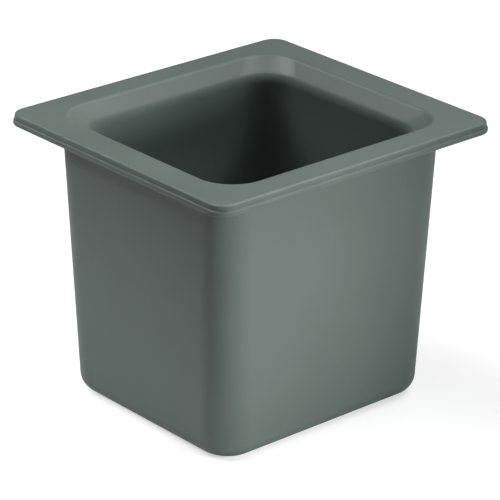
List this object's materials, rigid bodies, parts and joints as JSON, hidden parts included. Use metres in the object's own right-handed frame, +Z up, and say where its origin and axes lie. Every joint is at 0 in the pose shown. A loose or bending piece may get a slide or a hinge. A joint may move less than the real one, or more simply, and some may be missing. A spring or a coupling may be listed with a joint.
{
  "type": "double-walled food pan",
  "caption": "Insulated sixth-size food pan: tapered square-cornered body, wide flat rim in two welded layers, and a rounded well that flares at its mouth.",
  "frame": {"origin": "on the surface that the pan's foot stands on, under the middle of the rim", "axes": "+X along the rim's long side, +Y along its short side, +Z up out of the well"},
  "size_m": [0.176, 0.1616, 0.146],
  "materials": {
    "pan_plastic": "satin",
    "refrigerant_gel": "gloss",
    "weld_plastic": "satin",
    "plug_plastic": "satin"
  },
  "bodies": {
    "root": {"inner_liner": "pan_plastic", "outer_shell": "pan_plastic", "refrigerant_gel": "refrigerant_gel", "seam_weld": "weld_plastic", "fill_plug": "plug_plastic"}
  },
  "joints": []
}
